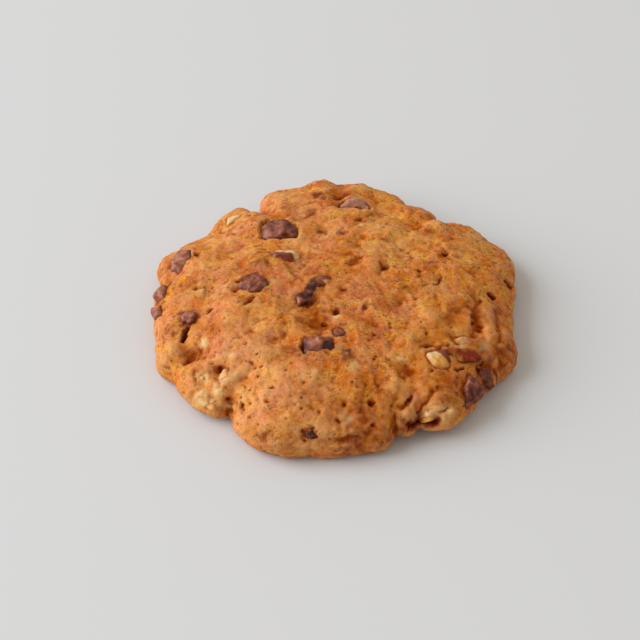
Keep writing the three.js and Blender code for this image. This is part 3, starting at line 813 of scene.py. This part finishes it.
class Look:
    """One material, with small helpers that add and link its nodes."""

    def __init__(self, name):
        self.material = bpy.data.materials.new(name)
        self.material.use_nodes = True
        self.tree = self.material.node_tree
        self.shader = self.tree.nodes["Principled BSDF"]
        self.coordinates = self.add("TexCoord", {}).outputs["Object"]

    def put(self, value, socket):
        """Links a node's output to a socket, or sets a plain number or colour on it."""
        if isinstance(value, bpy.types.NodeSocket):
            self.tree.links.new(value, socket)
        else:
            socket.default_value = value

    def surface(self, name, value):
        self.put(value, self.shader.inputs[name])

    def add(self, kind, inputs, **settings):
        """A new node of a kind, with its settings and its sockets filled."""
        node = self.tree.nodes.new("ShaderNode" + kind)
        for name, value in settings.items():
            setattr(node, name, value)
        for name, value in inputs.items():
            self.put(value, node.inputs[name])
        return node

    def noise(self, grain, detail=3.0, roughness=0.55, distortion=0.0):
        """Noise from 0 to 1 in the object's own space, with spots about one grain, in millimetres, wide."""
        inputs = {
            "Vector": self.coordinates,
            "Scale": 1.0 / (grain * MM),
            "Detail": detail,
            "Roughness": roughness,
            "Distortion": distortion,
        }
        return self.add("TexNoise", inputs).outputs["Fac"]

    def attribute(self, name):
        return self.add("Attribute", {}, attribute_name=name).outputs["Fac"]

    def stretch(self, value, low, high, to_low=0.0, to_high=1.0):
        """A value that goes from low to high, made to go between two others."""
        inputs = {"Value": value, "From Min": low, "From Max": high, "To Min": to_low, "To Max": to_high}
        return self.add("MapRange", inputs).outputs["Result"]

    def patches(self, grain, start, full, share=1.0, **noise_settings):
        """Patches of noise: none under the start value, and the share from the full value up."""
        return self.stretch(self.noise(grain, **noise_settings), start, full, to_high=share)

    def math(self, operation, first, second):
        return self.add("Math", {0: first, 1: second}, operation=operation).outputs["Value"]

    def times(self, first, second):
        return self.math("MULTIPLY", first, second)

    def mix(self, share, under, over):
        """The colour over another, as strong as its share. The node's colour sockets go by number."""
        return self.add("Mix", {0: share, 6: under, 7: over}, data_type="RGBA").outputs[2]

    def bump(self, height, distance, after=None):
        """The direction of a surface with bumps up to a distance, in millimetres, on top of other bumps."""
        inputs = {"Height": height, "Distance": distance * MM}
        if after is not None:
            inputs["Normal"] = after
        return self.add("Bump", inputs).outputs["Normal"]


def crust_colour(look):
    """The crust's uneven gold, orange, pink and brown, before its spots, pits and smears."""
    yellow = (0.77, 0.36, 0.050, 1)
    orange = (0.60, 0.138, 0.006, 1)
    brown = (0.28, 0.032, 0.001, 1)
    pink = (0.70, 0.26, 0.085, 1)
    gold = look.patches(4.6, start=0.45, full=0.58, detail=6.0, roughness=0.66)
    flush = look.patches(3.1, start=0.48, full=0.58, share=0.9, detail=6.0, roughness=0.66, distortion=0.3)
    baked = look.patches(2.3, start=0.52, full=0.63, share=0.9, detail=5.0, roughness=0.68)
    freckles = look.patches(0.5, start=0.50, full=0.64, share=0.6, detail=2.0, roughness=0.6)
    flecks = look.patches(0.7, start=0.54, full=0.66, share=0.4, roughness=0.65)
    colour = orange
    for share, paint in [(gold, yellow), (flush, pink), (baked, brown), (freckles, brown), (flecks, yellow)]:
        colour = look.mix(share, colour, paint)
    return colour


def dough_material():
    """The crust with its coats of colour, painted shade in its hollows and pits, and painted shade in a few
    tiny pores.
    """
    look = Look("baked_dough")
    amber_shade = (0.33, 0.058, 0.002, 1)
    deep_shade = (0.090, 0.007, 0.001, 1)
    # Each attribute of the dough's points, with how much of its paint it lays on
    coats = [
        # Partly golden crust, partly painted light.
        ("golden_and_lit", 0.8, (0.76, 0.41, 0.12, 1)),
        ("orange", 0.8, (0.77, 0.225, 0.012, 1)),
        # Partly pinkish crust, partly painted sheen.
        ("pink_and_sheen", 0.7, (0.66, 0.27, 0.15, 1)),
        # Partly toasted crust, partly painted shade: beside the pieces, at the foot, and on the right and
        # front right.
        ("toasted_and_shaded", 0.88, (0.19, 0.021, 0.002, 1)),
        # A painted sheen on the raised places of the relief.
        ("raised_sheen", 0.4, (0.77, 0.38, 0.13, 1)),
        ("cocoa", 1.0, (0.15, 0.038, 0.020, 1)),
        ("pale", 1.0, (0.74, 0.47, 0.20, 1)),
    ]
    colour = crust_colour(look)
    for name, share, paint in coats:
        colour = look.mix(look.times(look.attribute(name), share), colour, paint)
    # Painted shade: hollows and pits of the relief go amber, and the deepest go dark brown.
    depth = look.attribute("hollow_shade")
    colour = look.mix(look.stretch(depth, 0.0, 0.5, to_high=0.8), colour, amber_shade)
    colour = look.mix(look.stretch(depth, 0.35, 1.0, to_high=0.95), colour, deep_shade)
    # Painted shade in a few tiny pores, which the bump below also dents in.
    shaded_pores = look.times(
        look.patches(0.9, start=0.64, full=0.70, detail=2.0),
        look.patches(6.0, start=0.46, full=0.54),
    )
    colour = look.mix(look.times(shaded_pores, 0.6), colour, deep_shade)
    look.surface("Base Color", colour)
    look.surface("Roughness", look.stretch(look.noise(2.0), 0.3, 0.7, to_low=0.42, to_high=0.62))
    shine = look.stretch(look.attribute("raised_sheen"), 0.0, 1.0, to_low=0.02, to_high=0.3)
    look.surface("Specular IOR Level", shine)
    look.surface("Subsurface Weight", 0.2)
    look.surface("Subsurface Radius", (1.0, 0.35, 0.1))
    look.surface("Subsurface Scale", 1.2 * MM)
    crumb = look.bump(look.noise(1.1, roughness=0.6), distance=0.28)
    grit = look.bump(look.noise(0.45, detail=2.0, roughness=0.6), distance=0.10, after=crumb)
    look.surface("Normal", look.bump(shaded_pores, distance=-0.15, after=grit))
    return look.material


def with_crumbs(look, colour, start, full):
    """A piece's colour, with crumbs of the crust stuck to it where it is floured."""
    crumbs = look.patches(1.1, start=start, full=full, roughness=0.6)
    return look.mix(look.times(look.attribute("floured"), crumbs), colour, crust_colour(look))


def chocolate_material():
    """Dark to milky chocolate by the piece's tone, with a pinkish grey painted sheen on the lightest."""
    look = Look("baked_chocolate")
    black = (0.055, 0.012, 0.007, 1)
    milk = (0.26, 0.068, 0.035, 1)
    sheen_grey = (0.47, 0.215, 0.13, 1)
    mottle = look.stretch(look.noise(2.0, detail=4.0, roughness=0.6), 0.34, 0.66, to_low=-0.32, to_high=0.32)
    tone = look.math("ADD", look.attribute("tone"), mottle)
    colour = look.mix(look.stretch(tone, 0.0, 0.5), black, milk)
    # Painted sheen: the lightest tones, on faces turned to the light, go pinkish grey.
    colour = look.mix(look.stretch(tone, 0.5, 1.0), colour, sheen_grey)
    # Painted shade along the rim where the chocolate meets the dough.
    colour = look.mix(look.times(look.attribute("rim"), 0.45), colour, black)
    look.surface("Base Color", with_crumbs(look, colour, start=0.55, full=0.62))
    look.surface("Roughness", look.stretch(look.noise(1.2), 0.3, 0.7, to_low=0.32, to_high=0.5))
    look.surface("Specular IOR Level", 0.22)
    look.surface("Normal", look.bump(look.noise(0.9, roughness=0.6), distance=0.16))
    return look.material


def nut_material(name, light, dark, edge, gloss):
    """Nut from light to dark by the piece's own tone, and another colour along the dough."""
    look = Look(name)
    maroon = (0.20, 0.038, 0.018, 1)
    mottle = look.patches(1.8, start=0.3, full=0.7, detail=4.0, roughness=0.6)
    darkness = look.stretch(look.attribute("tone"), 0.0, 1.0, to_low=0.6, to_high=-0.6)
    colour = look.mix(look.math("ADD", mottle, darkness), light, dark)
    colour = look.mix(look.attribute("rim"), colour, edge)
    colour = look.mix(look.attribute("skinned"), colour, maroon)
    look.surface("Base Color", with_crumbs(look, colour, start=0.5, full=0.6))
    look.surface("Specular IOR Level", gloss)
    look.surface("Roughness", 0.5)
    look.surface("Normal", look.bump(look.noise(0.7, roughness=0.6), distance=0.12))
    return look.material


def dome_slope(place):
    """How steeply the plain dome falls outwards at a place."""
    share = min(math.hypot(place.x, place.y) / MEAN_RADIUS, STEEPEST_SHARE)
    fall = math.sqrt(1 - share**DOME_POWER)
    return DOME_RISE * 0.5 * DOME_POWER * share ** (DOME_POWER - 1) / (fall * MEAN_RADIUS)


def seat_of(node, shape):
    """Where a piece lies: its middle, with Z out of the dough and X along its length."""
    low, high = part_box(node)
    middle = (Vector(low) + Vector(high)) / 2
    slope = dome_slope(middle)
    outward = Vector((middle.x, middle.y, 0)).normalized()
    up = (slope * outward + Vector((0, 0, 1))).normalized()
    turn = math.radians(shape["turn"])
    length = Vector((math.cos(turn), math.sin(turn), 0))
    length = (length - length.dot(up) * up).normalized()
    seat = Matrix((length, up.cross(length), up)).transposed().to_4x4()
    middle -= shape["sunk"] * MM * up
    return Matrix.Translation(middle) @ seat @ Matrix.Rotation(math.radians(shape["lean"]), 4, "X")


def cut_block(name, size, cuts):
    """A block round the origin with slanting cuts. Each cut is a direction and its reach in millimetres."""
    bpy.ops.object.select_all(action="DESELECT")
    bpy.ops.mesh.primitive_cube_add(size=1.0)
    block = bpy.context.object
    block.name = name
    block.scale = [side * MM for side in size]
    bpy.ops.object.transform_apply(scale=True)
    bpy.ops.object.mode_set(mode="EDIT")
    for x, y, z, reach in cuts:
        direction = Vector((x, y, z)).normalized()
        bpy.ops.mesh.select_all(action="SELECT")
        bpy.ops.mesh.bisect(
            plane_co=reach * MM * direction, plane_no=direction, use_fill=True, clear_outer=True
        )
    bpy.ops.object.mode_set(mode="OBJECT")
    return block


def make_piece(node, shape, material):
    """A broken chunk: a cut block, with knobs where it has them, its edges softened and its faces rough."""
    piece = cut_block(node + "_piece", shape["size"], shape["cuts"])
    knobs = []
    for knob in shape["knobs"]:
        block = cut_block("knob", knob["size"], [])
        block.location = Vector(knob["place"]) * MM
        block.rotation_euler = [math.radians(angle) for angle in knob["turns"]]
        knobs.append(block)
    if knobs:
        only(piece)
        for block in knobs:
            block.select_set(True)
        bpy.ops.object.join()
    apply_modifier(piece, "BEVEL", width=PIECE_BEVEL, segments=2, limit_method="ANGLE")
    apply_modifier(piece, "REMESH", mode="VOXEL", voxel_size=PIECE_VOXEL, use_smooth_shade=True)
    apply_modifier(piece, "SMOOTH", factor=0.5, iterations=shape["worn"])
    points = read(piece, "co")
    slope, edge = shape["skin"]
    skinned = (edge * MM - points[:, 1] - slope * points[:, 0]) / SKIN_EDGE
    piece.matrix_world = seat_of(node, shape)
    bpy.ops.object.transform_apply(location=True, rotation=True, scale=True)
    points = read(piece, "co")
    skinned += uneven(points, grain=1.6, height=1.5, shift=8.2)
    write_attribute(piece, "skinned", np.clip(skinned, 0, 1))
    rough = uneven(points, grain=2.6, height=0.32) + uneven(points, grain=0.9, height=0.10, shift=5.0)
    write_points(piece, points + (rough * MM)[:, None] * read(piece, "normal"))
    piece.data.materials.append(material)
    return piece


def flatten_bottom(dough):
    """Puts one flat face in the place of the many small ones that the cookie rests on."""
    only(dough)
    bpy.ops.object.mode_set(mode="EDIT")
    bpy.ops.mesh.select_mode(type="FACE")
    bpy.ops.mesh.select_all(action="DESELECT")
    bpy.ops.object.mode_set(mode="OBJECT")
    for face in dough.data.polygons:
        face.select = face.center.z < FLAT_BOTTOM
    bpy.ops.object.mode_set(mode="EDIT")
    bpy.ops.mesh.dissolve_faces()
    bpy.ops.object.mode_set(mode="OBJECT")


def plugged_dough():
    """The dough with its pockets filled by copies of the CAD pieces, as one fine mesh, smoothed over them."""
    plugs = []
    for node in PIECES:
        plug = copy_of_node(node, "plug")
        apply_modifier(plug, "DISPLACE", strength=PLUG_GROWTH, mid_level=0.0)
        plugs.append(plug)
    trees = [tree_of(plug) for plug in plugs]
    dough = copy_of_node("dough", "baked_dough")
    only(dough)
    for plug in plugs:
        plug.select_set(True)
    bpy.ops.object.join()
    apply_modifier(dough, "REMESH", mode="VOXEL", voxel_size=DOUGH_VOXEL, use_smooth_shade=True)
    flatten_bottom(dough)
    points = read(dough, "co")
    on_plug = np.zeros(len(points), bool)
    for node, tree in zip(PIECES, trees):
        low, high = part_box(node)
        near = (points > np.array(low) - PLUG_MARGIN) & (points < np.array(high) + PLUG_MARGIN)
        for i in np.flatnonzero(near.all(axis=1)):
            gap = tree.find_nearest(points[i].tolist())[3]
            on_plug[i] = on_plug[i] or gap < PLUG_SKIN
    points = blurred(dough, points, PLUG_ROUNDS, on_plug)
    write_points(dough, blurred(dough, points, DOUGH_ROUNDS))
    return dough


def move_skin(dough, points, rise, normals):
    """Moves the dough's points along its normals, but leaves the flat bottom as it is."""
    moved = points + rise[:, None] * normals
    moved[:, 2] = np.maximum(moved[:, 2], 0)
    flat = points[:, 2] < FLAT_BOTTOM
    moved[flat] = points[flat]
    write_points(dough, moved)


def add_swells(dough):
    """Broad rises and dips, rounded lumps with cracks between some of them, and small unevenness."""
    points = read(dough, "co")
    normals = read(dough, "normal")
    loose = pulled(points, grain=5, reach=2.4)
    lumps = LUMP_HEIGHT * np.clip(0.35 + uneven(points, grain=13, height=1.6, shift=6.1), 0, 1)
    lumps = lumps * (np.minimum(cell_border(loose, LUMP_WIDTH), LUMP_BORDER) - LUMP_MIDDLE)
    rise = uneven(points, grain=11, height=0.85) + lumps
    rise += uneven(loose, grain=4.4, height=0.5, shift=3.7) + uneven(loose, grain=2.2, height=0.3, shift=5.5)
    rise += uneven(points, grain=1.2, height=0.15, shift=9.1)
    surface = tree_of(dough)
    for swell in SWELLS:
        gap = gap_to_spot(surface, points, normals, swell["at"])
        rise += swell["height"] * bell(gap, swell["spread"] * MM)
    move_skin(dough, points, rise * MM, normals)


def add_pits(dough, surface):
    """Pits, creases and pores. Gives how far each point was pushed in, in millimetres."""
    points = read(dough, "co")
    normals = read(dough, "normal")
    warped = pulled(pulled(points, grain=2.5, reach=0.8), grain=0.9, reach=0.4)
    sunk = spots(surface, warped, normals, PITS)
    for crease in CREASES:
        start = seen_at(surface, crease["from"])
        end = seen_at(surface, crease["to"])
        gap = gap_to_stretch(warped, normals, start, end)
        sunk = np.maximum(sunk, crease["depth"] * bell(gap, crease["width"] * MM))
    random = np.random.default_rng(SEED)
    chance = np.clip(PORE_MIDDLE - points[:, 1] / PORE_FALL, *PORE_CHANCE) * (points[:, 2] > PORE_LOWEST)
    pores = random.choice(len(points), PORE_COUNT, replace=False, p=chance / chance.sum())
    for i in pores:
        gap = np.linalg.norm(points - points[i], axis=1)
        radius = random.uniform(*PORE_RADIUS) * MM
        sunk = np.maximum(sunk, random.uniform(*PORE_DEPTH) * bell(gap, radius))
    move_skin(dough, points, -sunk * MM, normals)
    return sunk


def bare_pieces(dough, pieces):
    """Pushes the dough down off the tops of the pieces, or over them where it covers them. Gives how near
    each point is to a piece."""
    points = read(dough, "co")
    normals = blurred(dough, read(dough, "normal"), LIE_ROUNDS)
    normals /= np.linalg.norm(normals, axis=1)[:, None]
    shift = np.zeros(len(points))
    nearness = np.zeros(len(points))
    for piece, shape in zip(pieces, PIECES.values()):
        tree = tree_of(piece)
        corners = read(piece, "co")
        near = (points > corners.min(0) - PIECE_REACH) & (points < corners.max(0) + PIECE_REACH)
        near = np.flatnonzero(near.all(axis=1))
        patches = uneven(points[near], grain=2.6, shift=4.4)
        for i, patch in zip(near, patches):
            nearest = tree.find_nearest(points[i].tolist())[3]
            # How near the piece, for the painted shade on the dough beside it.
            nearness[i] = max(nearness[i], 1 - nearest / CONTACT_SHADE_WIDTH)
            start = Vector(points[i]) + PIECE_REACH * Vector(normals[i])
            gap = tree.ray_cast(start, -Vector(normals[i]), 2 * PIECE_REACH)[3]
            if gap is None:
                open_share = min(max(RING_SHARE + RING_RAGGEDNESS * patch, 0), 1)
                shift[i] = min(shift[i], -RING_DROP * open_share * max(1 - nearest / RING_WIDTH, 0))
                continue
            proud = PIECE_REACH - gap
            if patch + COVER_BY_PROUD * proud / MM < shape["cover"]:
                shift[i] = max(proud + COVER_RISE, 0)
            elif proud > -BURIED_DEPTH:
                shift[i] = min(shift[i], proud - BARE_DROP)
    write_points(dough, points + blurred(dough, shift, SHIFT_ROUNDS)[:, None] * normals)
    return np.clip(nearness, 0, 1)


def height_over(dough, points, normals, rounds):
    """How far, in millimetres, each point stands out of its surroundings. More rounds take in wider ones."""
    return ((points - blurred(dough, points, rounds)) * normals).sum(1) / MM


def make_dough(pieces):
    """The dough in its full relief, with what its material reads written at its points."""
    dough = plugged_dough()
    add_swells(dough)
    surface = tree_of(dough)
    sunk = add_pits(dough, surface)
    nearness = bare_pieces(dough, pieces)
    points = read(dough, "co")
    normals = read(dough, "normal")
    height = height_over(dough, points, normals, FINE_ROUNDS) / FINE_HEIGHT
    height += height_over(dough, points, normals, WIDE_ROUNDS) / WIDE_HEIGHT
    warped = pulled(points, grain=3, reach=1.6)
    streaks = uneven(points, grain=1.6, shift=2.2)
    lie = blurred(dough, normals, LIE_ROUNDS)
    # The foot: partly browning, partly painted shade where the wall turns under.
    foot = np.clip(1 - points[:, 2] / FOOT_HEIGHT, 0, 1) * np.clip(1 + streaks, 0, 1)

    def marked(groups, streakiness):
        return spots(surface, warped, lie, groups) * (1 + streakiness * streaks)

    skin = {
        # Painted shade in the hollows of the relief and in the pits, creases and pores.
        "hollow_shade": np.maximum(-0.45 * height, 0.9 * sunk) - 0.1,
        # Painted sheen on the rises of the relief.
        "raised_sheen": 0.5 * height,
        # Toasted crust and painted shade: the marks, painted shade beside the pieces, and the darker foot.
        "toasted_and_shaded": marked(TOASTED_AND_SHADED, streakiness=1.0) + 0.45 * nearness + 0.4 * foot,
        # Golden crust with painted light.
        "golden_and_lit": marked(GOLDEN_AND_LIT, streakiness=0.5),
        # Pinkish crust with painted sheen.
        "orange": marked(ORANGE, streakiness=0.5),
        "pink_and_sheen": marked(PINK_AND_SHEEN, streakiness=0.5),
        "pale": marked(PALE, streakiness=1.0),
        "cocoa": marked(SMEARS, streakiness=1.5),
    }
    for name, values in skin.items():
        write_attribute(dough, name, np.clip(values, 0, 1))
    dough.data.materials.append(dough_material())
    return dough


def mark_piece(piece, dough_tree, tone):
    """Marks a piece's tone, with painted highlights and shade on the chocolate's facets, its surface near the
    dough, and the crumbs of dough that stick to it.
    """
    points = read(piece, "co")
    surface = tree_of(piece)
    gaps = np.array([dough_tree.find_nearest(point)[3] for point in points.tolist()])
    for mark in TONES_AND_FACET_LIGHT:
        gap = np.linalg.norm(points - seen_at(surface, mark["at"]), axis=1)
        tone = tone + mark["much"] * bell(gap, mark["spread"] * MM)
    write_attribute(piece, "tone", tone)
    write_attribute(piece, "rim", np.clip(1 - gaps / RIM_WIDTH, 0, 1))
    write_attribute(piece, "floured", np.clip(1 - gaps / CRUMB_WIDTH, 0, 1))


noise.seed_set(SEED)
place_camera()
light_scene()
lay_floor()

finishes = {
    "chocolate": chocolate_material(),
    "nut_kernel": nut_material(
        "nut_kernel",
        light=(0.74, 0.50, 0.22, 1),
        dark=(0.64, 0.27, 0.035, 1),
        edge=(0.56, 0.20, 0.025, 1),
        gloss=0.4,
    ),
    "nut_skin": nut_material(
        "nut_skin",
        light=(0.23, 0.026, 0.009, 1),
        dark=(0.60, 0.22, 0.025, 1),
        edge=(0.14, 0.012, 0.004, 1),
        gloss=0.12,
    ),
}
slots = {part["node"]: part["material_slot"] for part in frame["record"]["subparts"]}
pieces = [make_piece(node, shape, finishes[slots[node]]) for node, shape in PIECES.items()]
dough = make_dough(pieces)
dough_tree = tree_of(dough)
for piece, node in zip(pieces, PIECES):
    mark_piece(piece, dough_tree, PIECES[node]["tone"])
    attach(piece, "root")
    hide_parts(node)
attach(dough, "root")
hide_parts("dough")
